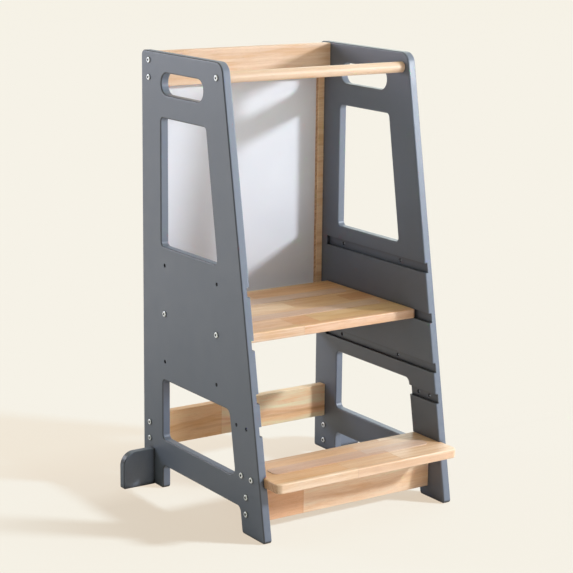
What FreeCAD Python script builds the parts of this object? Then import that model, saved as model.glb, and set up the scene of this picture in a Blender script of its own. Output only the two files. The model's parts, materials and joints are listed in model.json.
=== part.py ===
import FreeCAD, Part
import math
import os

# Toddler kitchen helper stool: two painted side panels joined by timber rails,
# with a standing platform and an entry step held in grooves at a chosen height.
# Millimetres, +Z up.  The origin is on the floor under the centre of the
# bounding box.  -Y is the open front (entry side), +Y is the closed back.

# ------------------------------------------------------------ main dimensions
W_OUT = 453.0          # width over the two side panels
T = 18.0               # side panel thickness
H = 900.0              # height of the side panels
D_BASE = 466.0         # side panel depth on the floor
D_TOP = 305.0          # side panel depth at the top
OVERALL_D = 494.0      # back edge to the nose of the step
ARRIS = 3.0            # rounding along the edges of the painted panels
R_TOP_FRONT = 24.0
R_TOP_BACK = 11.0
R_FOOT = 6.0

# openings in a side panel, measured forward from the back edge (d) and up (z)
SLOT_D0, SLOT_D1 = 78.0, 237.0
SLOT_Z0, SLOT_Z1 = 817.5, 861.0
UW = [(76.0, 512.0, 9.0), (290.5, 512.0, 9.0), (246.8, 771.5, 9.0), (76.0, 771.5, 9.0)]
LW = [(80.0, 107.0, 10.0), (359.0, 107.0, 14.0), (336.0, 234.5, 13.0), (80.0, 234.5, 10.0)]
ARCH_Z = 50.5
ARCH_R = 12.0
REAR_FOOT = 80.5       # rear foot runs from 0 to here
FRONT_FOOT = 386.0     # front foot starts here on the floor

# heights that the boards can be set to
PLAT_LEVELS = (274.0, 374.0, 474.0)
PLAT_SET = 374.0
PLAT_HOLE_D = (90.0, 290.0)
STEP_LEVELS = ((116.0, (383.0, 418.0)), (212.0, (363.0, 398.0)))
STEP_SET_Z = 116.0
STEP_HOLE_D = (383.0, 418.0)
BOARD_T = 19.0
GROOVE_GAP = 0.4       # slack above a board in its groove
GROOVE_DEPTH = 7.0
GROOVE_STOP = 37.5     # back end of the platform grooves
END_GAP = 0.3          # slack between a board's end and the groove floor

PLAT_D0, PLAT_D1 = 40.0, 349.0
STEP_D0, STEP_D1 = 360.0, OVERALL_D

# rails
RAIL_T = 20.0
TOP_RAIL = (18.5, 827.5, 898.0)       # back face d, z0, z1
LOW_RAIL = (18.5, 78.0, 149.0)
FRONT_RAIL = (390.5, 23.5, 94.5)
RAIL_R = 1.5

BAR_D, BAR_Z, BAR_DIA = 287.0, 870.0, 22.0

# closed back
PANEL_D0, PANEL_T = 4.5, 5.0
PANEL_Z0, PANEL_Z1 = 266.0, 884.0
BATTEN_W = 15.0
BATTEN_T = 9.0
BATTEN_Z0, BATTEN_Z1 = 268.0, 888.0

# outriggers (anti-tip feet)
OUT_REACH = 73.0
OUT_H = 77.0
OUT_T = 17.0
OUT_D0 = 28.5
OUT_R = 29.0

# fasteners
SHANK_R = 3.0
HOLE_R = 4.0
TIP_R = 3.4            # room for a bolt's tip beyond its sleeve
HEAD_R = 5.8
HEAD_H = 2.6
SOCKET_AF = 5.0
SOCKET_DEEP = 2.3
INSERT_OR = 4.5
INSERT_IR = 3.04
INSERT_L = 15.0

STRIP_T = 0.8
STRIP_W = 36.0
STRIP_R = 13.0           # corners of a strip
PLUG_R, PLUG_L = 3.6, 2.2   # wooden plugs over the batten screws

# ------------------------------------------------------------------- helpers
HALF = W_OUT / 2.0
IN = HALF - T                      # inner face of a side panel, from the middle
Y_BACK = OVERALL_D / 2.0


def Y(d):
    """Row Y of a point d millimetres in front of the back edge."""
    return Y_BACK - d


def front_d(z):
    """Depth of the sloping front edge of a side panel at height z."""
    return D_BASE + (D_TOP - D_BASE) * z / H


def rounded_face(pts, x):
    """Face in the plane X=x from (d, z, radius) corners."""
    n = len(pts)
    segs = []
    ends = []
    for i in range(n):
        d0, z0 = pts[i - 1][:2]
        d1, z1, r = pts[i]
        d2, z2 = pts[(i + 1) % n][:2]
        ax, ay = d0 - d1, z0 - z1
        bx, by = d2 - d1, z2 - z1
        la, lb = math.hypot(ax, ay), math.hypot(bx, by)
        ax, ay, bx, by = ax / la, ay / la, bx / lb, by / lb
        if r <= 0:
            ends.append(((d1, z1), None, (d1, z1)))
            continue
        ang = math.acos(max(-1.0, min(1.0, ax * bx + ay * by)))
        k = r / math.tan(ang / 2.0)
        p = (d1 + ax * k, z1 + ay * k)
        q = (d1 + bx * k, z1 + by * k)
        mx, my = ax + bx, ay + by
        lm = math.hypot(mx, my)
        c = r / math.sin(ang / 2.0)
        cx, cy = d1 + mx / lm * c, z1 + my / lm * c
        m = (cx - mx / lm * r, cy - my / lm * r)
        ends.append((p, m, q))

    def v(p):
        return FreeCAD.Vector(x, Y(p[0]), p[1])

    for i in range(n):
        p, m, q = ends[i]
        if m is not None:
            segs.append(Part.Arc(v(p), v(m), v(q)).toShape())
        nxt = ends[(i + 1) % n][0]
        if math.hypot(nxt[0] - q[0], nxt[1] - q[1]) > 1e-6:
            segs.append(Part.LineSegment(v(q), v(nxt)).toShape())
    return Part.Face(Part.Wire(Part.__sortEdges__(segs)))


def box(x0, x1, d0, d1, z0, z1):
    return Part.makeBox(x1 - x0, d1 - d0, z1 - z0, FreeCAD.Vector(x0, Y(d1), z0))


def rod(r, x0, x1, d, z):
    """Cylinder along X from x0 to x1."""
    a, b = min(x0, x1), max(x0, x1)
    return Part.makeCylinder(r, b - a, FreeCAD.Vector(a, Y(d), z), FreeCAD.Vector(1, 0, 0))


def round_edges(shape, test, r):
    edges = [e for e in shape.Edges if test(e)]
    return shape.makeFillet(r, edges)


def edge_mid(e):
    return e.valueAt((e.FirstParameter + e.LastParameter) / 2.0)


def in_plane_x(e, x):
    bb = e.BoundBox
    return abs(bb.XMin - x) < 1e-6 and abs(bb.XMax - x) < 1e-6


def mirror(shape):
    return shape.mirror(FreeCAD.Vector(0, 0, 0), FreeCAD.Vector(1, 0, 0))


def bolt(x_face, sx, d, z, length):
    """Button-head bolt: the head sits on the plane x_face and points to sx,
    the shank runs the other way for length."""
    a = FreeCAD.Vector(x_face, Y(d), z)
    ax = FreeCAD.Vector(sx, 0, 0)
    head = Part.makeCylinder(HEAD_R, HEAD_H, a, ax)
    far = x_face + sx * HEAD_H
    rim = [e for e in head.Edges
           if abs(e.BoundBox.XMin - far) < 1e-6 and abs(e.BoundBox.XMax - far) < 1e-6]
    head = head.makeFillet(1.4, rim)
    hexa = []
    for i in range(7):
        t = math.radians(60 * i + 30)
        rr = SOCKET_AF / 2.0 / math.cos(math.radians(30))
        hexa.append(FreeCAD.Vector(far, Y(d) + rr * math.cos(t), z + rr * math.sin(t)))
    sock = Part.Face(Part.makePolygon(hexa)).extrude(FreeCAD.Vector(-sx * SOCKET_DEEP, 0, 0))
    shank = Part.makeCylinder(SHANK_R, length, a, FreeCAD.Vector(-sx, 0, 0))
    tip = x_face - sx * length
    te = [e for e in shank.Edges
          if abs(e.BoundBox.XMin - tip) < 1e-6 and abs(e.BoundBox.XMax - tip) < 1e-6]
    shank = shank.makeChamfer(0.7, te)
    return head.fuse(shank).cut(sock).removeSplitter()


def insert(x_mouth, sx, d, z):
    """Threaded sleeve: its mouth is on x_mouth and it runs towards -sx."""
    a = FreeCAD.Vector(x_mouth, Y(d), z)
    ax = FreeCAD.Vector(-sx, 0, 0)
    return Part.makeCylinder(INSERT_OR, INSERT_L, a, ax).cut(
        Part.makeCylinder(INSERT_IR, INSERT_L, a, ax))


def pocket(x_mouth, sx, d, z, deep):
    """Stepped hole for an insert and the bolt tip beyond it."""
    a = FreeCAD.Vector(x_mouth, Y(d), z)
    ax = FreeCAD.Vector(-sx, 0, 0)
    return Part.makeCylinder(INSERT_OR, INSERT_L, a, ax).fuse(
        Part.makeCylinder(TIP_R, deep, a, ax))


def countersunk(p, direction, length, head_r, shank_r):
    """Wood screw: flat head flush with p, pointing along direction."""
    h = head_r - shank_r
    cone = Part.makeCone(head_r, shank_r, h, p, direction)
    body = Part.makeCylinder(shank_r, length - h - 2.0, p + direction * h, direction)
    tip = Part.makeCone(shank_r, 0.4, 2.0, p + direction * (length - 2.0), direction)
    s = cone.fuse([body, tip]).removeSplitter()
    cross_a = Part.makeBox(head_r * 1.1, 0.9, 0.9)
    cross_a.translate(FreeCAD.Vector(-head_r * 0.55, -0.45, 0))
    cross_b = Part.makeBox(0.9, head_r * 1.1, 0.9)
    cross_b.translate(FreeCAD.Vector(-0.45, -head_r * 0.55, 0))
    cross = cross_a.fuse(cross_b)
    rot = FreeCAD.Rotation(FreeCAD.Vector(0, 0, 1), direction)
    cross.Placement = FreeCAD.Placement(p, rot)
    return s.cut(cross)


def screw_hole(p, direction, length, head_r, shank_r):
    h = head_r - shank_r
    cone = Part.makeCone(head_r, shank_r, h, p, direction)
    body = Part.makeCylinder(shank_r, length - h - 2.0, p + direction * h, direction)
    tip = Part.makeCone(shank_r, 0.4, 2.0, p + direction * (length - 2.0), direction)
    return cone.fuse([body, tip]).removeSplitter()


parts = {}

# --------------------------------------------------------- fastener positions
top_d = TOP_RAIL[0] + RAIL_T / 2.0
low_d = LOW_RAIL[0] + RAIL_T / 2.0
frt_d = FRONT_RAIL[0] + RAIL_T / 2.0
TOP_BOLTS = [(top_d + 1.5, 864.4 + 17.2), (top_d + 1.5, 864.4 - 17.2)]
LOW_BOLTS = [(low_d - 1.5, 113.0 + 17.2), (low_d - 1.5, 113.0 - 17.2)]
FRONT_BOLTS = [(frt_d - 0.5, 59.0 + 17.2), (frt_d - 0.5, 59.0 - 17.2)]
OUT_BOLTS = [(OUT_D0 + OUT_T / 2.0, 55.5), (OUT_D0 + OUT_T / 2.0, 20.5)]
PLAT_BOLTS = [(d, PLAT_SET) for d in PLAT_HOLE_D]
STEP_BOLTS = [(d, STEP_SET_Z) for d in STEP_HOLE_D]
BAR_BOLTS = [(BAR_D, BAR_Z)]

# ----------------------------------------------------------- left side panel
outline = [
    (0.0, 0.0, R_FOOT),
    (REAR_FOOT, 0.0, R_FOOT),
    (REAR_FOOT, ARCH_Z, ARCH_R),
    (FRONT_FOOT - (D_BASE - D_TOP) * ARCH_Z / H, ARCH_Z, ARCH_R),
    (FRONT_FOOT, 0.0, R_FOOT),
    (D_BASE, 0.0, R_FOOT),
    (D_TOP, H, R_TOP_FRONT),
    (0.0, H, R_TOP_BACK),
]
thick = FreeCAD.Vector(T, 0, 0)
panel = rounded_face(outline, -HALF).extrude(thick)
slot_r = (SLOT_Z1 - SLOT_Z0) / 2.0 - 0.01
slot_pts = [(SLOT_D0, SLOT_Z0, slot_r), (SLOT_D1, SLOT_Z0, slot_r),
            (SLOT_D1, SLOT_Z1, slot_r), (SLOT_D0, SLOT_Z1, slot_r)]
for pts in (UW, LW, slot_pts):
    panel = panel.cut(rounded_face(pts, -HALF).extrude(thick))
panel = round_edges(panel, lambda e: in_plane_x(e, -HALF) or in_plane_x(e, -IN), ARRIS)

# grooves on the inner face, open at the front edge
for z in PLAT_LEVELS:
    panel = panel.cut(box(-IN - GROOVE_DEPTH, -IN + 1.0, GROOVE_STOP, 520.0,
                          z - BOARD_T / 2.0, z + BOARD_T / 2.0 + GROOVE_GAP))
for z, ds in STEP_LEVELS:
    panel = panel.cut(box(-IN - GROOVE_DEPTH, -IN + 1.0, front_d(z) - 108.0, 520.0,
                          z - BOARD_T / 2.0, z + BOARD_T / 2.0 + GROOVE_GAP))
# through holes for every bolt position, used or spare
holes = list(TOP_BOLTS) + list(LOW_BOLTS) + list(FRONT_BOLTS) + list(OUT_BOLTS) + list(BAR_BOLTS)
for z in PLAT_LEVELS:
    holes += [(d, z) for d in PLAT_HOLE_D]
for z, ds in STEP_LEVELS:
    holes += [(d, z) for d in ds]
for d, z in holes:
    panel = panel.cut(rod(HOLE_R, -HALF - 1, -IN + 1, d, z))

# ------------------------------------------------------------ closed back
PANEL_X = IN - 0.5
back = box(-PANEL_X, PANEL_X, PANEL_D0, PANEL_D0 + PANEL_T, PANEL_Z0, PANEL_Z1)
bat_x0 = -IN
batten = box(bat_x0, bat_x0 + BATTEN_W, PANEL_D0 + PANEL_T, PANEL_D0 + PANEL_T + BATTEN_T,
             BATTEN_Z0, BATTEN_Z1)
batten = round_edges(
    batten,
    lambda e: abs(edge_mid(e).y - Y(PANEL_D0 + PANEL_T + BATTEN_T)) < 1e-6
    and abs(edge_mid(e).x - (bat_x0 + BATTEN_W)) < 1e-6, 1.5)

# screws through each batten into its side panel, sunk under flush plugs
bat_d = PANEL_D0 + PANEL_T + BATTEN_T / 2.0
batten_screws = []
batten_plugs = []
for z in (300.0, 575.0, 850.0):
    p = FreeCAD.Vector(bat_x0 + BATTEN_W, Y(bat_d), z)
    q = FreeCAD.Vector(bat_x0 + BATTEN_W - PLUG_L, Y(bat_d), z)
    dr = FreeCAD.Vector(-1, 0, 0)
    plug = Part.makeCylinder(PLUG_R, PLUG_L, p, dr)
    hole = screw_hole(q, dr, 23.8, 3.2, 1.6)
    batten = batten.cut(hole).cut(plug)
    panel = panel.cut(hole)
    batten_screws.append(countersunk(q, dr, 23.8, 3.2, 1.6))
    batten_plugs.append(plug)

# screws through the back panel into the battens
back_screws = []
for z in (282.0, 420.0, 560.0, 700.0, 830.0):
    p = FreeCAD.Vector(bat_x0 + BATTEN_W / 2.0, Y(PANEL_D0), z)
    dr = FreeCAD.Vector(0, -1, 0)
    hole = screw_hole(p, dr, 12.5, 2.8, 1.3)
    batten = batten.cut(hole)
    back = back.cut(hole).cut(mirror(hole))
    back_screws.append(countersunk(p, dr, 12.5, 2.8, 1.3))
back_screws += [mirror(s) for s in back_screws]

parts["left_side_panel"] = panel
parts["right_side_panel"] = mirror(panel)
parts["back_panel"] = back
parts["left_back_batten"] = batten
parts["right_back_batten"] = mirror(batten)
parts["batten_screws"] = batten_screws + [mirror(s) for s in batten_screws]
parts["batten_plugs"] = batten_plugs + [mirror(s) for s in batten_plugs]
parts["back_panel_screws"] = back_screws


# ------------------------------------------------------------------- rails
def rail(spec, bolts):
    d0, z0, z1 = spec
    r = box(-IN, IN, d0, d0 + RAIL_T, z0, z1)
    r = round_edges(r, lambda e: abs(e.BoundBox.XMax - e.BoundBox.XMin) > 100.0, RAIL_R)
    for d, z in bolts:
        for s in (-1, 1):
            r = r.cut(pocket(s * IN, s, d, z, 36.0))
    return r


def bolt_set(points, x_face=HALF, length=50.0):
    return [bolt(s * x_face, s, d, z, length) for s in (-1, 1) for d, z in points]


def insert_set(points, x_mouth):
    return [insert(s * x_mouth, s, d, z) for s in (-1, 1) for d, z in points]


parts["top_back_rail"] = rail(TOP_RAIL, TOP_BOLTS)
parts["lower_back_rail"] = rail(LOW_RAIL, LOW_BOLTS)
parts["lower_front_rail"] = rail(FRONT_RAIL, FRONT_BOLTS)
parts["top_rail_bolts"] = bolt_set(TOP_BOLTS)
parts["lower_back_rail_bolts"] = bolt_set(LOW_BOLTS)
parts["lower_front_rail_bolts"] = bolt_set(FRONT_BOLTS)
parts["top_rail_inserts"] = insert_set(TOP_BOLTS, IN)
parts["lower_back_rail_inserts"] = insert_set(LOW_BOLTS, IN)
parts["lower_front_rail_inserts"] = insert_set(FRONT_BOLTS, IN)

# ---------------------------------------------------------------- grab bar
bar = rod(BAR_DIA / 2.0, -IN, IN, BAR_D, BAR_Z)
for d, z in BAR_BOLTS:
    for s in (-1, 1):
        bar = bar.cut(pocket(s * IN, s, d, z, 36.0))
parts["grab_bar"] = bar
parts["grab_bar_bolts"] = bolt_set(BAR_BOLTS)
parts["grab_bar_inserts"] = insert_set(BAR_BOLTS, IN)

# ---------------------------------------------------------- standing platform
END_X = IN + GROOVE_DEPTH - END_GAP


def board(d0, d1, z_mid, nose_r, corner_r, bolts):
    z0, z1 = z_mid - BOARD_T / 2.0, z_mid + BOARD_T / 2.0
    b = box(-END_X, END_X, d0, d1, z0, z1)
    b = round_edges(
        b, lambda e: abs(e.BoundBox.ZMax - e.BoundBox.ZMin) > BOARD_T * 0.9
        and abs(edge_mid(e).y - Y(d1)) < 1e-6, corner_r)

    def front_edge(e, z):
        bb = e.BoundBox
        if abs(bb.ZMin - z) > 1e-6 or abs(bb.ZMax - z) > 1e-6:
            return False
        return edge_mid(e).y < Y(d1 - corner_r * 0.75)

    b = round_edges(b, lambda e: front_edge(e, z1), nose_r)
    b = round_edges(b, lambda e: front_edge(e, z0), 2.0)
    for d, z in bolts:
        for s in (-1, 1):
            b = b.cut(pocket(s * END_X, s, d, z, 36.0))
    return b


parts["platform_board"] = board(PLAT_D0, PLAT_D1, PLAT_SET, 3.0, 9.0, PLAT_BOLTS)
parts["platform_bolts"] = bolt_set(PLAT_BOLTS)
parts["platform_inserts"] = insert_set(PLAT_BOLTS, END_X)

# -------------------------------------------------------------- entry step
parts["step_board"] = board(STEP_D0, STEP_D1, STEP_SET_Z, 3.0, 11.5, STEP_BOLTS)
parts["step_bolts"] = bolt_set(STEP_BOLTS)
parts["step_inserts"] = insert_set(STEP_BOLTS, END_X)


# ------------------------------------------------------- anti-slip strips
def strip(d_mid, wide, end_inset, z_top):
    x = IN - end_inset
    s = box(-x, x, d_mid - wide / 2.0, d_mid + wide / 2.0, z_top, z_top + STRIP_T)
    s = round_edges(s, lambda e: abs(e.BoundBox.ZMax - e.BoundBox.ZMin) > STRIP_T * 0.9, STRIP_R)
    return s


PLAT_TOP = PLAT_SET + BOARD_T / 2.0
STEP_TOP = STEP_SET_Z + BOARD_T / 2.0
parts["platform_grip_strip_rear"] = strip(132.0, STRIP_W, 21.0, PLAT_TOP)
parts["platform_grip_strip_front"] = strip(253.5, STRIP_W, 21.0, PLAT_TOP)
parts["step_grip_strip"] = strip(422.0, STRIP_W, 22.0, STEP_TOP)


# ------------------------------------------------------------- outriggers
def outrigger():
    """Left foot plate: stands on the floor outside the rear leg."""
    x_in, x_out = -HALF, -HALF - OUT_REACH
    pts = [(x_in, 0.0, 0.0), (x_in, OUT_H, 0.0), (x_out, OUT_H, OUT_R), (x_out, 0.0, 4.0)]
    y = Y(OUT_D0)
    k = OUT_R * (1.0 - math.sqrt(0.5))
    v = FreeCAD.Vector
    r2 = 4.0
    k2 = r2 * (1.0 - math.sqrt(0.5))
    segs = [
        Part.LineSegment(v(x_in, y, 0), v(x_in, y, OUT_H)).toShape(),
        Part.LineSegment(v(x_in, y, OUT_H), v(x_out + OUT_R, y, OUT_H)).toShape(),
        Part.Arc(v(x_out + OUT_R, y, OUT_H), v(x_out + k, y, OUT_H - k),
                 v(x_out, y, OUT_H - OUT_R)).toShape(),
        Part.LineSegment(v(x_out, y, OUT_H - OUT_R), v(x_out, y, r2)).toShape(),
        Part.Arc(v(x_out, y, r2), v(x_out + k2, y, k2), v(x_out + r2, y, 0)).toShape(),
        Part.LineSegment(v(x_out + r2, y, 0), v(x_in, y, 0)).toShape(),
    ]
    o = Part.Face(Part.Wire(Part.__sortEdges__(segs))).extrude(v(0, -OUT_T, 0))

    def rim(e):
        bb = e.BoundBox
        if bb.YMax - bb.YMin > 1e-6:
            return False
        m = edge_mid(e)
        return m.x < x_in - 1.0

    o = round_edges(o, rim, 2.0)
    for d, z in OUT_BOLTS:
        o = o.cut(pocket(-HALF, 1, d, z, 36.0))
    return o


parts["left_outrigger"] = outrigger()
parts["right_outrigger"] = mirror(parts["left_outrigger"])
# bolts go in from the inner face of each side panel, outwards
out_bolts = [bolt(-IN, 1, d, z, 50.0) for d, z in OUT_BOLTS]
out_ins = [insert(-HALF, 1, d, z) for d, z in OUT_BOLTS]
parts["outrigger_bolts"] = out_bolts + [mirror(b) for b in out_bolts]
parts["outrigger_inserts"] = out_ins + [mirror(b) for b in out_ins]

# ------------------------------------------------------------------- export
os.makedirs("parts", exist_ok=True)
for name in sorted(parts):
    shape = parts[name]
    if isinstance(shape, list):
        shape = Part.makeCompound(shape)
    elif len(shape.Solids) == 1:
        shape = shape.Solids[0]
    if not shape.isValid():
        raise RuntimeError("invalid shape: " + name)
    shape.exportStep("parts/" + name + ".step")
    bb = shape.BoundBox
    print("%-28s solids %d  x %.1f..%.1f  y %.1f..%.1f  z %.1f..%.1f" % (
        name, len(shape.Solids), bb.XMin, bb.XMax, bb.YMin, bb.YMax, bb.ZMin, bb.ZMax))
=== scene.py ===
import bpy
import json
import math
from mathutils import Matrix, Vector

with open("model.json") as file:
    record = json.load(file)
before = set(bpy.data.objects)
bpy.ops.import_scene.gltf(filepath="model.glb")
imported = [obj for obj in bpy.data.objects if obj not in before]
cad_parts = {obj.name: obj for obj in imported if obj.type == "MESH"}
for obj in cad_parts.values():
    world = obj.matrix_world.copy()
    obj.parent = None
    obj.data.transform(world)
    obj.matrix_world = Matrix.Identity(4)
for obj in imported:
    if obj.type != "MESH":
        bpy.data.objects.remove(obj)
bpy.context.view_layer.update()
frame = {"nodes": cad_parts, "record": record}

nodes = frame["nodes"]
scene = bpy.context.scene
scene.view_settings.view_transform = "Standard"
scene.view_settings.look = "None"
scene.view_settings.exposure = 0.0
scene.view_settings.gamma = 1.0


def lin(r, g, b):
    """sRGB 0-255 to a linear colour."""
    out = []
    for c in (r, g, b):
        c = c / 255.0
        out.append(c / 12.92 if c <= 0.04045 else ((c + 0.055) / 1.055) ** 2.4)
    return (out[0], out[1], out[2], 1.0)


# --------------------------------------------------------------------------
# A small helper for node trees
# --------------------------------------------------------------------------
class Tree:
    def __init__(self, name):
        self.mat = bpy.data.materials.new(name)
        self.mat.use_nodes = True
        self.nt = self.mat.node_tree
        self.nt.nodes.clear()
        self.out = self.new("ShaderNodeOutputMaterial")
        self.bsdf = self.new("ShaderNodeBsdfPrincipled")
        self.link(self.bsdf.outputs[0], self.out.inputs["Surface"])
        self.obj = self.new("ShaderNodeTexCoord").outputs["Object"]

    def new(self, kind):
        return self.nt.nodes.new(kind)

    def link(self, a, b):
        self.nt.links.new(a, b)

    def put(self, socket, value):
        if isinstance(value, bpy.types.NodeSocket):
            self.link(value, socket)
        elif value is not None:
            socket.default_value = value

    def math(self, op, a, b=None, c=None, clamp=False):
        n = self.new("ShaderNodeMath")
        n.operation = op
        n.use_clamp = clamp
        for i, v in enumerate((a, b, c)):
            if v is not None:
                self.put(n.inputs[i], v)
        return n.outputs[0]

    def vmath(self, op, a, b=None, scale=None):
        n = self.new("ShaderNodeVectorMath")
        n.operation = op
        self.put(n.inputs[0], a)
        if b is not None:
            self.put(n.inputs[1], b)
        if scale is not None:
            self.put(n.inputs["Scale"], scale)
        return n.outputs["Value" if op in ("DOT_PRODUCT", "LENGTH", "DISTANCE") else "Vector"]

    def sep(self, v):
        n = self.new("ShaderNodeSeparateXYZ")
        self.link(v, n.inputs[0])
        return n.outputs[0], n.outputs[1], n.outputs[2]

    def comb(self, x, y, z):
        n = self.new("ShaderNodeCombineXYZ")
        for i, v in enumerate((x, y, z)):
            self.put(n.inputs[i], v)
        return n.outputs[0]

    def noise(self, vec, scale, detail=3.0, rough=0.55, distortion=0.0, lac=2.0):
        n = self.new("ShaderNodeTexNoise")
        self.put(n.inputs["Vector"], vec)
        self.put(n.inputs["Scale"], scale)
        n.inputs["Detail"].default_value = detail
        n.inputs["Roughness"].default_value = rough
        n.inputs["Lacunarity"].default_value = lac
        n.inputs["Distortion"].default_value = distortion
        return n.outputs["Fac"]

    def white(self, vec):
        n = self.new("ShaderNodeTexWhiteNoise")
        n.noise_dimensions = "3D"
        self.put(n.inputs["Vector"], vec)
        return n.outputs["Value"], n.outputs["Color"]

    def voronoi(self, vec, scale, feature="F1", rand=1.0):
        n = self.new("ShaderNodeTexVoronoi")
        n.feature = feature
        self.put(n.inputs["Vector"], vec)
        n.inputs["Scale"].default_value = scale
        n.inputs["Randomness"].default_value = rand
        return n.outputs["Distance"]

    def remap(self, v, a, b, c=0.0, d=1.0, clamp=True, smooth=False):
        n = self.new("ShaderNodeMapRange")
        n.clamp = clamp
        if smooth:
            n.interpolation_type = "SMOOTHSTEP"
        self.put(n.inputs[0], v)
        for i, x in enumerate((a, b, c, d)):
            self.put(n.inputs[1 + i], x)
        return n.outputs[0]

    def ramp(self, v, stops, mode="LINEAR"):
        n = self.new("ShaderNodeValToRGB")
        n.color_ramp.interpolation = mode
        e = n.color_ramp.elements
        while len(e) < len(stops):
            e.new(0.5)
        for el, (p, c) in zip(e, stops):
            el.position = p
            el.color = c
        self.put(n.inputs[0], v)
        return n.outputs[0]

    def mix(self, f, a, b, mode="MIX"):
        n = self.new("ShaderNodeMix")
        n.data_type = "RGBA"
        n.blend_type = mode
        n.clamp_factor = True
        self.put(n.inputs[0], f)
        self.put(n.inputs[6], a)
        self.put(n.inputs[7], b)
        return n.outputs[2]

    def hsv(self, col, h=0.5, s=1.0, v=1.0):
        n = self.new("ShaderNodeHueSaturation")
        self.put(n.inputs["Hue"], h)
        self.put(n.inputs["Saturation"], s)
        self.put(n.inputs["Value"], v)
        self.put(n.inputs["Color"], col)
        return n.outputs[0]

    def bump(self, height, strength, distance, normal=None):
        n = self.new("ShaderNodeBump")
        self.put(n.inputs["Height"], height)
        n.inputs["Strength"].default_value = strength
        n.inputs["Distance"].default_value = distance
        if normal is not None:
            self.link(normal, n.inputs["Normal"])
        return n.outputs[0]

    def nook(self, reach, samples=6):
        """1 in the open, towards 0 deep in a hole, groove or joint."""
        n = self.new("ShaderNodeAmbientOcclusion")
        n.samples = samples
        n.inputs["Distance"].default_value = reach
        return n.outputs["AO"]

    def normal_xyz(self):
        g = self.new("ShaderNodeNewGeometry")
        return self.sep(g.outputs["Normal"])

    def set(self, **kw):
        for k, v in kw.items():
            self.put(self.bsdf.inputs[k.replace("_", " ")], v)


def paint():
    """Sprayed satin paint on board: faint cloudiness and orange peel, with a painted highlight on the edges and painted
    shade on the outer arrises, in holes, grooves and joints.
    """
    t = Tree("grey_satin_paint")
    cloud = t.noise(t.obj, 5.0, 4.0, 0.55)
    fine = t.noise(t.obj, 60.0, 3.0, 0.6)
    c = t.mix(t.remap(cloud, 0.3, 0.7), lin(93, 102, 117), lin(98, 107, 122))
    c = t.mix(t.remap(fine, 0.2, 0.8, 0.0, 0.3), c, lin(105, 113, 130))
    speck = t.voronoi(t.obj, 420.0)
    c = t.mix(t.remap(speck, 0.02, 0.10, 0.22, 0.0), c, lin(83, 91, 106))
    # painted highlight: board edges are painted lighter than the faces and the faces a little darker, standing in for
    # the sheen the lamp puts on the edges
    nx = t.normal_xyz()[0]
    side = t.math("ABSOLUTE", nx)
    c = t.vmath("SCALE", c, scale=t.remap(side, 0.25, 0.75, 1.22, 0.957))
    # painted shade: the rounded outer arrises are painted darker, standing in for the shade that falls on them
    outward = t.math("MULTIPLY", nx, t.math("SIGN", t.sep(t.obj)[0]))
    arris_shade = t.math("MULTIPLY", t.remap(outward, 0.30, 0.56), t.remap(outward, 0.95, 0.995, 1.0, 0.0))
    c = t.vmath("SCALE", c, scale=t.remap(arris_shade, 0.0, 1.0, 1.0, 0.46))
    # painted shade: the paint turns towards near black in grooves, holes and where parts meet
    occ = t.nook(0.010)
    c = t.mix(t.remap(occ, 0.25, 0.93, 0.82, 0.0), c, lin(16, 17, 20))
    # the walls of the bolt holes and grooves are bare board and painted near black: partly their own dark colour,
    # partly painted shade
    wall = t.remap(side, 0.25, 0.45, 1.0, 0.0)
    c = t.mix(t.math("MULTIPLY", wall, t.remap(occ, 0.50, 0.86, 0.97, 0.0)), c, lin(10, 10, 11))
    peel = t.noise(t.obj, 900.0, 2.0, 0.5)
    peel2 = t.noise(t.obj, 240.0, 2.0, 0.5)
    h = t.math("ADD", t.math("MULTIPLY", peel, 0.4), peel2)
    t.set(Base_Color=c,
          Roughness=t.remap(t.noise(t.obj, 30.0, 3.0), 0.3, 0.7, 0.38, 0.46),
          Normal=t.bump(h, 0.20, 0.0004))
    t.bsdf.inputs["Specular IOR Level"].default_value = PAINT_SPEC
    return t.mat


PAINT_SPEC = 0.7

# stave tints, as factors on the base colour of the timber
CREAM_T = (1.03, 1.04, 1.03)
PALE = (1.00, 0.98, 0.95)
TAN = (0.94, 0.88, 0.80)
HONEY = (0.95, 0.92, 0.78)
ORANGE = (0.97, 0.84, 0.67)
PINK = (0.98, 0.88, 0.82)
RED = (0.87, 0.68, 0.54)
BROWN = (0.80, 0.62, 0.47)
GOLD_AND_SHADE = (0.91, 0.80, 0.62)
GREY = (0.90, 0.89, 0.88)


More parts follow.
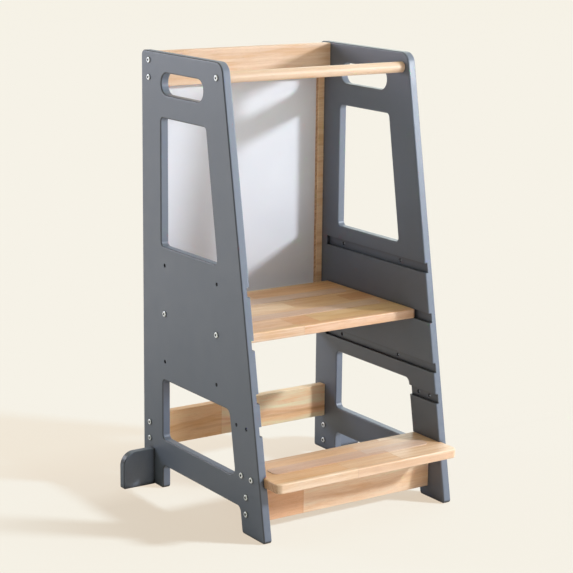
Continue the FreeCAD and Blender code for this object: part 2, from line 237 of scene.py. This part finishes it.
def wood(name, light, mid, dark, seed, rows=None, axis="y", rough=0.40, line=None,
         film=False, gain=None, top=None):
    """Clear-lacquered timber with its grain along X, glued up from finger-jointed
    staves.  rows = [(upper limit along the axis, [(upper limit along X, tint), ...]), ...]"""
    t = Tree(name)
    x, y, z = t.sep(t.obj)
    tint, seam = None, None
    if rows:
        across = y if axis == "y" else z
        # the glue lines wander a hair, and so do the end joints
        across = t.math("ADD", across, t.math("MULTIPLY", t.math("SUBTRACT", t.noise(t.comb(t.math(
            "MULTIPLY", x, 3.0), seed, 0.0), 1.0, 1.0), 0.5), 0.0012))
        pos = t.remap(x, -0.25, 0.25, 0.0, 1.0)
        prev = None
        lo = None
        for k, (limit, staves) in enumerate(rows):
            stops = []
            at = 0.0
            for i, (xe, tn) in enumerate(staves):
                stops.append((at, (tn[0] * 0.8, tn[1] * 0.8, tn[2] * 0.8, 1.0)))
                at = (xe + 0.25) / 0.5
            if len(stops) == 1:
                stops.append((1.0, stops[0][1]))
            col = t.ramp(pos, stops, "CONSTANT")
            sm = None
            for xe, tn in staves[:-1]:
                d = t.math("ABSOLUTE", t.math("SUBTRACT", x, xe))
                sm = d if sm is None else t.math("MINIMUM", sm, d)
            if sm is None:
                sm = t.math("ADD", 1.0, 0.0)
            key = t.math("ADD", t.math("MULTIPLY", t.sep(col)[0], 17.0), k * 3.1 + seed)
            if prev is None:
                prev = (col, sm, key)
            else:
                above = t.math("GREATER_THAN", across, lo)
                c0, s0, k0 = prev
                prev = (t.mix(above, c0, col),
                        t.math("ADD", t.math("MULTIPLY", s0, t.math("SUBTRACT", 1.0, above)),
                               t.math("MULTIPLY", sm, above)),
                        t.math("ADD", t.math("MULTIPLY", k0, t.math("SUBTRACT", 1.0, above)),
                               t.math("MULTIPLY", key, above)))
                g = t.math("ABSOLUTE", t.math("SUBTRACT", across, lo))
                seam = g if seam is None else t.math("MINIMUM", seam, g)
            lo = limit
        tint, sm, key = prev
        seam = sm if seam is None else t.math("MINIMUM", seam, sm)
        _, rnd = t.white(t.comb(key, seed, 0.37))
        rx, ry, rz = t.sep(rnd)
    else:
        rx = ry = rz = 0.5
    # each stave has its own slope of grain and its own place in the log
    slope = t.math("MULTIPLY", t.math("SUBTRACT", ry, 0.5), 0.05)
    y = t.math("ADD", y, t.math("MULTIPLY", x, slope))
    z = t.math("ADD", z, t.math("MULTIPLY", x, t.math("MULTIPLY", slope, 0.5)))
    gx = t.math("ADD", t.math("ADD", x, seed * 3.17), t.math("MULTIPLY", rx, 4.0))
    wander = t.noise(t.comb(t.math("MULTIPLY", gx, 2.6), t.math("MULTIPLY", y, 6.0),
                            t.math("MULTIPLY", z, 6.0)), 1.0, 3.0, 0.55)
    # growth rings about a pith that lies outside the board
    cy = t.math("ADD", t.math("SUBTRACT", y, t.math("MULTIPLY", ry, 0.06)), t.math("MULTIPLY", wander, 0.05))
    cz = t.math("ADD", t.math("ADD", z, t.math("MULTIPLY", rz, 0.09)), t.math("MULTIPLY", wander, 0.03))
    rad = t.math("SQRT", t.math("ADD", t.math("MULTIPLY", cy, cy), t.math("MULTIPLY", cz, cz)))
    ring_n = t.noise(t.comb(t.math("MULTIPLY", gx, 0.8), t.math("MULTIPLY", rad, 210.0), seed),
                     1.0, 2.0, 0.55)
    wide = t.noise(t.comb(t.math("MULTIPLY", gx, 1.2), t.math("MULTIPLY", rad, 55.0), seed + 3.0),
                   1.0, 2.0, 0.5)
    fibre = t.noise(t.comb(t.math("MULTIPLY", gx, 22.0), t.math("MULTIPLY", y, 800.0),
                           t.math("MULTIPLY", z, 800.0)), 1.0, 3.0, 0.6)
    pores = t.noise(t.comb(t.math("MULTIPLY", gx, 75.0), t.math("MULTIPLY", y, 1900.0),
                           t.math("MULTIPLY", z, 1900.0)), 1.0, 2.0, 0.5)
    blotch = t.noise(t.comb(t.math("MULTIPLY", gx, 9.0), t.math("MULTIPLY", y, 26.0),
                            t.math("MULTIPLY", z, 26.0)), 1.0, 3.0, 0.6)
    c = t.ramp(t.math("ADD", t.math("MULTIPLY", ring_n, 0.5), t.math("MULTIPLY", wide, 0.5)),
               [(0.36, light), (0.52, mid), (0.68, dark)])
    c = t.mix(t.remap(fibre, 0.38, 0.72, 0.0, 0.42), c, dark)
    c = t.mix(t.remap(blotch, 0.45, 0.75, 0.0, 0.45), c, mid)
    # warm and pale drifts along the grain, as in timber cut from different logs
    drift = t.noise(t.comb(t.math("MULTIPLY", gx, 6.0), t.math("MULTIPLY", y, 48.0),
                           t.math("MULTIPLY", z, 48.0)), 1.0, 4.0, 0.62)
    c = t.vmath("MULTIPLY", c, t.ramp(drift, [
        (0.36, (1.04, 1.06, 1.10, 1.0)), (0.50, (1.0, 1.0, 1.0, 1.0)), (0.64, (0.93, 0.84, 0.72, 1.0))]))
    pore = t.remap(pores, 0.61, 0.73, 0.0, 0.46)
    c = t.mix(pore, c, t.hsv(dark, 0.5, 1.05, 0.66))
    if tint is not None:
        c = t.mix(1.0, c, t.vmath("SCALE", tint, scale=1.25), "MULTIPLY")
        c = t.mix(t.remap(seam, 0.0, 0.0006, 0.40, 0.0), c, t.hsv(dark, 0.5, 1.1, 0.45))
    if line is not None:
        # one redder streak of late wood along the grain
        zz, x0 = line
        gap = t.math("ABSOLUTE", t.math("SUBTRACT", t.math("ADD", t.sep(t.obj)[2], t.math(
            "MULTIPLY", wander, 0.004)), zz))
        on = t.math("MULTIPLY", t.remap(gap, 0.0, 0.0045, 0.34, 0.0),
                    t.remap(x, x0 - 0.01, x0 + 0.01))
        c = t.mix(on, c, t.hsv(dark, 0.485, 1.25, 0.62))
    # end grain where the face points along X
    nx, ny, nz = t.normal_xyz()
    end = t.remap(t.math("ABSOLUTE", nx), 0.75, 0.95)
    eg = t.noise(t.comb(t.math("MULTIPLY", x, 60.0), t.math("MULTIPLY", y, 420.0),
                        t.math("MULTIPLY", z, 420.0)), 1.0, 3.0, 0.65)
    arcs = t.noise(t.comb(0.0, t.math("MULTIPLY", rad, 190.0), 0.0), 1.0, 2.0, 0.5, 0.6)
    endc = t.mix(t.remap(t.math("ADD", t.math("MULTIPLY", eg, 0.5), t.math("MULTIPLY", arcs, 0.5)),
                         0.35, 0.65), t.hsv(mid, 0.495, 1.12, 0.76), t.hsv(dark, 0.495, 1.15, 0.58))
    c = t.mix(end, c, endc)
    if gain:
        c = t.vmath("MULTIPLY", c, gain)
    # painted shade: upward faces take the extra tint given in top
    if top:
        c = t.mix(t.remap(nz, 0.6, 0.8), c, t.vmath("MULTIPLY", c, top))
    c = t.vmath("MINIMUM", c, (0.94, 0.94, 0.94))
    if film:
        # a frosted film stuck on the board: the timber shows through it
        peb = t.voronoi(t.obj, 520.0)
        haze = t.noise(t.obj, 55.0, 3.0)
        c = t.mix(t.remap(haze, 0.3, 0.7, 0.27, 0.38), c, lin(208, 187, 190))
        c = t.mix(t.remap(peb, 0.05, 0.6, 0.0, 0.16), c, lin(172, 146, 140))
        t.set(Base_Color=c, Roughness=t.remap(peb, 0.0, 0.6, 0.34, 0.52),
              Normal=t.bump(t.remap(peb, 0.0, 0.6, 1.0, 0.0), 0.35, 0.0003))
        t.bsdf.inputs["Specular IOR Level"].default_value = 0.6
        return t.mat
    h = t.math("ADD", t.math("MULTIPLY", fibre, 0.5), t.math("MULTIPLY", pore, -1.2))
    h = t.math("ADD", h, t.math("MULTIPLY", ring_n, 0.4))
    if seam is not None:
        h = t.math("ADD", h, t.remap(seam, 0.0, 0.0005, -1.0, 0.0))
    r = t.remap(fibre, 0.3, 0.7, rough - 0.04, rough + 0.07)
    t.set(Base_Color=c, Roughness=r, Normal=t.bump(h, 0.22, 0.0003))
    t.bsdf.inputs["Coat Weight"].default_value = 0.10
    t.bsdf.inputs["Coat Roughness"].default_value = 0.35
    return t.mat


def white_panel():
    """White coated hardboard with a faint roller texture."""
    t = Tree("white_coated_board")
    cloud = t.noise(t.obj, 4.0, 3.0)
    c = t.mix(t.remap(cloud, 0.3, 0.7), lin(223, 226, 235), lin(230, 233, 241))
    fibre = t.noise(t.vmath("MULTIPLY", t.obj, (500.0, 500.0, 160.0)), 1.0, 2.0)
    t.set(Base_Color=c, Roughness=t.remap(fibre, 0.3, 0.7, 0.40, 0.50),
          Normal=t.bump(fibre, 0.12, 0.0003))
    return t.mat


def zinc():
    t = Tree("zinc_plated_steel")
    n = t.noise(t.obj, 700.0, 3.0)
    c = t.mix(t.remap(n, 0.3, 0.7), lin(243, 248, 252), lin(230, 236, 243))
    # painted shade: near black in the hex sockets and other recesses
    c = t.mix(t.remap(t.nook(0.0055), 0.47, 0.92, 0.98, 0.0), c, lin(10, 10, 12))
    t.set(Base_Color=c, Roughness=t.remap(n, 0.3, 0.7, 0.30, 0.42), Normal=t.bump(n, 0.15, 0.0002))
    t.bsdf.inputs["Metallic"].default_value = 0.45
    return t.mat


def brass():
    t = Tree("turned_brass")
    n = t.noise(t.vmath("MULTIPLY", t.obj, (2500.0, 200.0, 200.0)), 1.0, 2.0)
    c = t.mix(n, lin(200, 166, 96), lin(170, 136, 74))
    t.set(Base_Color=c, Roughness=t.remap(n, 0.3, 0.7, 0.28, 0.42))
    t.bsdf.inputs["Metallic"].default_value = 1.0
    return t.mat


L, M_, D_ = lin(242, 211, 180), lin(233, 198, 164), lin(210, 164, 125)


def yd(d):
    """Row Y in metres of a point d mm in front of the back edge."""
    return (247.0 - d) / 1000.0


# rows run from the front of a board to its back (Y upwards)
PLATFORM_ROWS = [
    (yd(332), [(-0.062, PALE), (0.30, PINK)]),
    (yd(276), [(-0.074, PINK), (-0.013, RED), (0.30, HONEY)]),
    (yd(220), [(-0.05, CREAM_T), (0.30, PALE)]),
    (yd(164), [(0.008, CREAM_T), (0.144, TAN), (0.30, BROWN)]),
    (yd(108), [(0.044, GREY), (0.30, TAN)]),
    (yd(52), [(-0.02, TAN), (0.30, ORANGE)]),
    (yd(0), [(0.06, PALE), (0.30, TAN)]),
]
STEP_ROWS = [
    (yd(484.5), [(-0.03, CREAM_T), (0.30, PALE)]),
    (yd(428.5), [(-0.045, ORANGE), (0.082, (0.97, 0.89, 0.77)), (0.30, PALE)]),
    (yd(372.5), [(0.037, ORANGE), (0.30, PALE)]),
    (yd(300), [(0.11, TAN), (0.30, PALE)]),
]
FRONT_RAIL_ROWS = [(0.2, [(-0.1015, RED), (0.30, PALE)])]
# the back rail's left stave is golden timber, darkened and saturated further as painted shade where the rail lies in
# shadow
BACK_RAIL_ROWS = [(0.2, [(-0.06, GOLD_AND_SHADE), (0.30, CREAM_T)])]
TOP_RAIL_ROWS = [(1.0, [(0.30, (1.0, 0.99, 0.97))])]

G_PLAT, G_STEP = (0.97, 1.04, 1.17), (0.98, 1.03, 1.14)
G_TOP, G_FRONT, G_BACK = (0.955, 0.975, 1.05), (1.18, 1.31, 1.46), (1.26, 1.29, 1.27)

PLAT_TOP_SHADE = (1.00, 0.93, 0.79)      # painted shade: the top of the platform is painted more golden than its nose, standing in for the warmer shade on it

MATS = {
    "rail_wood": wood("batten_timber", L, M_, D_, 1.0, gain=(1.06, 1.08, 1.02)),
    "grey_paint": paint(),
    "bar_wood": wood("dowel_timber", lin(236, 208, 180), lin(230, 200, 170), lin(216, 182, 148), 2.0, gain=(0.944, 0.95, 0.985)),
    "board_wood": None,
    "white_panel": white_panel(),
    "bolt_steel": zinc(),
    "insert_brass": brass(),
}
OWN = {
    "platform_board": wood("platform_timber", L, M_, D_, 3.0, PLATFORM_ROWS, gain=G_PLAT, top=PLAT_TOP_SHADE),
    "step_board": wood("step_timber", L, M_, D_, 4.0, STEP_ROWS, gain=G_STEP),
    "lower_front_rail": wood("front_rail_timber", L, M_, D_, 5.0, FRONT_RAIL_ROWS, "z", gain=G_FRONT),
    "lower_back_rail": wood("back_rail_timber", L, M_, D_, 6.0, BACK_RAIL_ROWS, "z", line=(0.1015, -0.13), gain=G_BACK),
    "platform_grip_strip_rear": wood("platform_film_rear", L, M_, D_, 3.0, PLATFORM_ROWS, film=True, gain=G_PLAT, top=PLAT_TOP_SHADE),
    "platform_grip_strip_front": wood("platform_film_front", L, M_, D_, 3.0, PLATFORM_ROWS, film=True, gain=G_PLAT, top=PLAT_TOP_SHADE),
    "step_grip_strip": wood("step_film", L, M_, D_, 4.0, STEP_ROWS, film=True, gain=G_STEP),
    "top_back_rail": wood("top_rail_timber", L, M_, lin(220, 179, 141), 7.0, TOP_RAIL_ROWS, "z", gain=G_TOP),
}
for sp in frame["record"]["subparts"]:
    o = nodes[sp["node"]]
    m = OWN.get(sp["node"]) or MATS[sp["material_slot"]]
    o.data.materials.clear()
    o.data.materials.append(m)

# --------------------------------------------------------------------------
# Stage, light and camera
# --------------------------------------------------------------------------
CREAM = lin(246, 242, 231)
LAMP_AT = (2.1206, -1.8922, 1.4931)
LAMP_AIM = (0.0, 0.0, -3.0)       # feathered downwards, so that the base is lit as strongly as the top
LAMP_SIZE = 0.39
LAMP = (79.5, 84.0, 88.0)
LOBES = {
    "all": (0.0, 0.0, 0.0),
    "+x": (2.15, 2.25, 2.50),
    "-x": (0.0, 0.0, 0.0),
    "+y": (0.15, 0.10, 0.10),
    "-y": (0.20, 0.20, 0.34),
    "+z": (0.93, 0.95, 0.60),
}
SOFT = [
    ("soft_left", (-2.0, 0.3, 2.2), (0.0, 0.0, 0.5), 1.4, (0.0, 0.0, 0.0)),
    ("soft_top", (0.0, 0.2, 3.2), (0.0, 0.0, 0.4), 2.0, (5.0, 2.0, 1.0)),
    ("soft_back_left", (-1.9, 2.3, 1.5), (-0.2, 0.0, 0.6), 1.3, (36.0, 37.0, 42.0)),
    ("soft_back_right", (2.4, 2.4, 2.0), (0.0, 0.0, 0.5), 1.4, (11.0, 12.5, 10.5)),
]
FAR_GLOW = (0.45, 0.45, 0.47)     # the card behind and around is lit on its own
FLOOR_ALBEDO = lin(184, 181, 176)
# what the floor loses where the key lamp is blocked, fading towards the back card
KEY_DROP = [(0.10, (0.19, 0.22, 0.225, 1.0)), (0.32, (0.18, 0.21, 0.215, 1.0)), (0.41, (0.10, 0.13, 0.14, 1.0)),
            (0.58, (0.065, 0.105, 0.125, 1.0)), (0.72, (0.038, 0.072, 0.095, 1.0))]
HID_KEY = (0.27, 0.215, 0.15)     # what the lit floor sends to the object
SHADE = (0.03, 0.065, 0.095)         # how much of it answers to all the other light
CONE = 10.0                       # degrees about the key lamp that KEY_DROP listens to


def aim(obj, direction):
    obj.rotation_euler = Vector(direction).to_track_quat("-Z", "Y").to_euler()


def area(name, at, to, size, watts):
    d = bpy.data.lights.new(name, "AREA")
    d.shape = "DISK"
    d.size = size
    top = max(max(watts), 1e-9)
    d.energy = top
    d.color = [w / top for w in watts]
    o = bpy.data.objects.new(name, d)
    scene.collection.objects.link(o)
    o.location = at
    aim(o, [b - a for a, b in zip(at, to)])
    o.visible_camera = False
    return o


if max(LAMP) > 0:
    area("key_lamp", LAMP_AT, LAMP_AIM, LAMP_SIZE, LAMP)
for soft in SOFT:
    if max(soft[4]) > 0:
        area(*soft)


class Nodes(Tree):
    """The same helper on the world's tree or on a material's empty tree."""
    def __init__(self, nt):
        self.nt = nt
        nt.nodes.clear()


world = bpy.data.worlds.new("studio")
scene.world = world
world.use_nodes = True
w = Nodes(world.node_tree)
gen = w.new("ShaderNodeTexCoord").outputs["Generated"]
gx, gy, gz = w.sep(gen)
total = None
for name, colour in LOBES.items():
    if name == "all":
        f = w.math("ADD", 1.0, 0.0)
    else:
        comp = {"x": gx, "y": gy, "z": gz}[name[1]]
        f = w.math("MAXIMUM", w.math("MULTIPLY", comp, 1.0 if name[0] == "+" else -1.0), 0.0)
        f = w.math("MULTIPLY", f, f)
    part = w.vmath("SCALE", colour, scale=f)
    total = part if total is None else w.vmath("ADD", total, part)
lp = w.new("ShaderNodeLightPath")
total = w.mix(lp.outputs["Is Camera Ray"], total, CREAM)
bg = w.new("ShaderNodeBackground")
w.link(total, bg.inputs["Color"])
wo = w.new("ShaderNodeOutputWorld")
w.link(bg.outputs[0], wo.inputs["Surface"])


def sky_on_floor():
    """Unblocked light that the world sends to the floor, per channel, divided by pi."""
    share = {"all": 1.0, "+x": 0.125, "-x": 0.125, "+y": 0.125, "-y": 0.125, "+z": 0.5}
    return [sum(LOBES[k][c] * share[k] for k in LOBES) for c in range(3)]


bpy.ops.mesh.primitive_plane_add(size=160.0, location=(0, 0, 0))
floor = bpy.context.object
floor.name = "floor"
fm = bpy.data.materials.new("floor_card")
fm.use_nodes = True
fm.cycles.use_bump_map_correction = False    # the floor answers to the lamp at any slant
f = Nodes(fm.node_tree)
pos = f.new("ShaderNodeNewGeometry").outputs["Position"]


def lamp_on_floor(at, to, watts):
    """Unblocked light of one lamp on the floor at pos, divided by pi (per watt)."""
    n = (Vector(to) - Vector(at)).normalized()
    v = f.vmath("SUBTRACT", pos, tuple(at))
    dist = f.vmath("LENGTH", v)
    cosl = f.math("MAXIMUM", f.math("DIVIDE", f.vmath("DOT_PRODUCT", v, tuple(n)), dist), 0.0)
    e = f.math("MULTIPLY", cosl, at[2] / (math.pi * math.pi))
    e = f.math("DIVIDE", e, f.math("POWER", dist, 3.0))
    return f.vmath("SCALE", tuple(watts), scale=e)


lit = f.vmath("ADD", lamp_on_floor(LAMP_AT, LAMP_AIM, LAMP), tuple(sky_on_floor()))
for soft in SOFT:
    lit = f.vmath("ADD", lit, lamp_on_floor(soft[1], soft[2], soft[4]))
to_lamp = f.vmath("NORMALIZE", f.vmath("SUBTRACT", LAMP_AT, pos))
lamp_n = (Vector(LAMP_AIM) - Vector(LAMP_AT)).normalized()
reach = f.vmath("LENGTH", f.vmath("SUBTRACT", LAMP_AT, pos))
solid = 2.0 * math.pi * (1.0 - math.cos(math.radians(CONE)))
facing = f.math("MULTIPLY", f.vmath("DOT_PRODUCT", to_lamp, tuple(lamp_n)), -1.0 / math.pi / solid)
facing = f.math("DIVIDE", facing, f.math("MULTIPLY", reach, reach))
beam = f.vmath("SCALE", LAMP, scale=facing)
for part, axis in zip(f.sep(to_lamp), "xyz"):
    for sign, way in (("+", 1.0), ("-", -1.0)):
        if max(LOBES.get(sign + axis, (0.0,))) > 0:
            c = f.math("MAXIMUM", f.math("MULTIPLY", part, way), 0.0)
            beam = f.vmath("ADD", beam, f.vmath("SCALE", LOBES[sign + axis], scale=f.math("MULTIPLY", c, c)))
glow = f.vmath("SUBTRACT", CREAM[:3], f.vmath("MULTIPLY", lit, SHADE))
px, py, pz = f.sep(pos)
drop = f.vmath("SCALE", f.ramp(f.math("ADD", py, 0.2), KEY_DROP), scale=f.remap(px, -0.62, -0.40, 0.45, 1.0))
# no such loss where the floor lies behind the key lamp's face
front = f.vmath("DOT_PRODUCT", f.vmath("SUBTRACT", pos, LAMP_AT), tuple(lamp_n))
drop = f.vmath("SCALE", drop, scale=f.remap(front, 0.3, 1.2, 0.0, 1.0))
glow = f.vmath("SUBTRACT", glow, drop)
toon = f.new("ShaderNodeBsdfToon")
toon.component = "DIFFUSE"
toon.inputs["Size"].default_value = CONE / 90.0
toon.inputs["Smooth"].default_value = 0.0
f.link(f.vmath("DIVIDE", drop, beam), toon.inputs["Color"])
f.link(to_lamp, toon.inputs["Normal"])
emi = f.new("ShaderNodeEmission")
f.link(glow, emi.inputs["Color"])
dif = f.new("ShaderNodeBsdfDiffuse")
dif.inputs["Color"].default_value = (*SHADE, 1.0)
seen = f.new("ShaderNodeAddShader")
f.link(emi.outputs[0], seen.inputs[0])
f.link(dif.outputs[0], seen.inputs[1])
seen2 = f.new("ShaderNodeAddShader")
f.link(seen.outputs[0], seen2.inputs[0])
f.link(toon.outputs[0], seen2.inputs[1])
emi2 = f.new("ShaderNodeEmission")
out = f.math("SQRT", f.math("ADD", f.math("MULTIPLY", px, px), f.math("MULTIPLY", py, py)))
f.link(f.vmath("SCALE", FAR_GLOW, scale=f.remap(out, 0.7, 3.0, 0.0, 1.0, smooth=True)), emi2.inputs["Color"])
dif2 = f.new("ShaderNodeBsdfDiffuse")
dif2.inputs["Color"].default_value = FLOOR_ALBEDO
hid = f.new("ShaderNodeAddShader")
f.link(emi2.outputs[0], hid.inputs[0])
f.link(dif2.outputs[0], hid.inputs[1])
toon2 = f.new("ShaderNodeBsdfToon")
toon2.component = "DIFFUSE"
toon2.inputs["Size"].default_value = CONE / 90.0
toon2.inputs["Smooth"].default_value = 0.0
f.link(f.vmath("DIVIDE", HID_KEY, beam), toon2.inputs["Color"])
f.link(to_lamp, toon2.inputs["Normal"])
hid2 = f.new("ShaderNodeAddShader")
f.link(hid.outputs[0], hid2.inputs[0])
f.link(toon2.outputs[0], hid2.inputs[1])
lpf = f.new("ShaderNodeLightPath")
pick = f.new("ShaderNodeMixShader")
f.link(lpf.outputs["Is Camera Ray"], pick.inputs[0])
f.link(hid2.outputs[0], pick.inputs[1])
f.link(seen2.outputs[0], pick.inputs[2])
fo = f.new("ShaderNodeOutputMaterial")
f.link(pick.outputs[0], fo.inputs["Surface"])
floor.data.materials.append(fm)

# camera solved from the photograph's perspective
az, el, roll = math.radians(-33.87), math.radians(12.84), math.radians(0.66)
back = Vector((math.sin(az) * math.cos(el), -math.cos(az) * math.cos(el), math.sin(el)))
fwd = -back
right = fwd.cross(Vector((0, 0, 1))).normalized()
up = right.cross(fwd)
r2 = right * math.cos(roll) + up * math.sin(roll)
u2 = -right * math.sin(roll) + up * math.cos(roll)
cam_d = bpy.data.cameras.new("camera")
cam = bpy.data.objects.new("camera", cam_d)
scene.collection.objects.link(cam)
m = Matrix.Identity(4)
for i in range(3):
    m[i][0], m[i][1], m[i][2] = r2[i], u2[i], back[i]
m[0][3], m[1][3], m[2][3] = -1.98497, -2.90320, 1.23641
cam.matrix_world = m
cam_d.sensor_fit = "HORIZONTAL"
cam_d.sensor_width = 36.0
cam_d.lens = 1791.86 / 573.0 * 36.0
cam_d.clip_start = 0.05
cam_d.clip_end = 400.0
scene.camera = cam
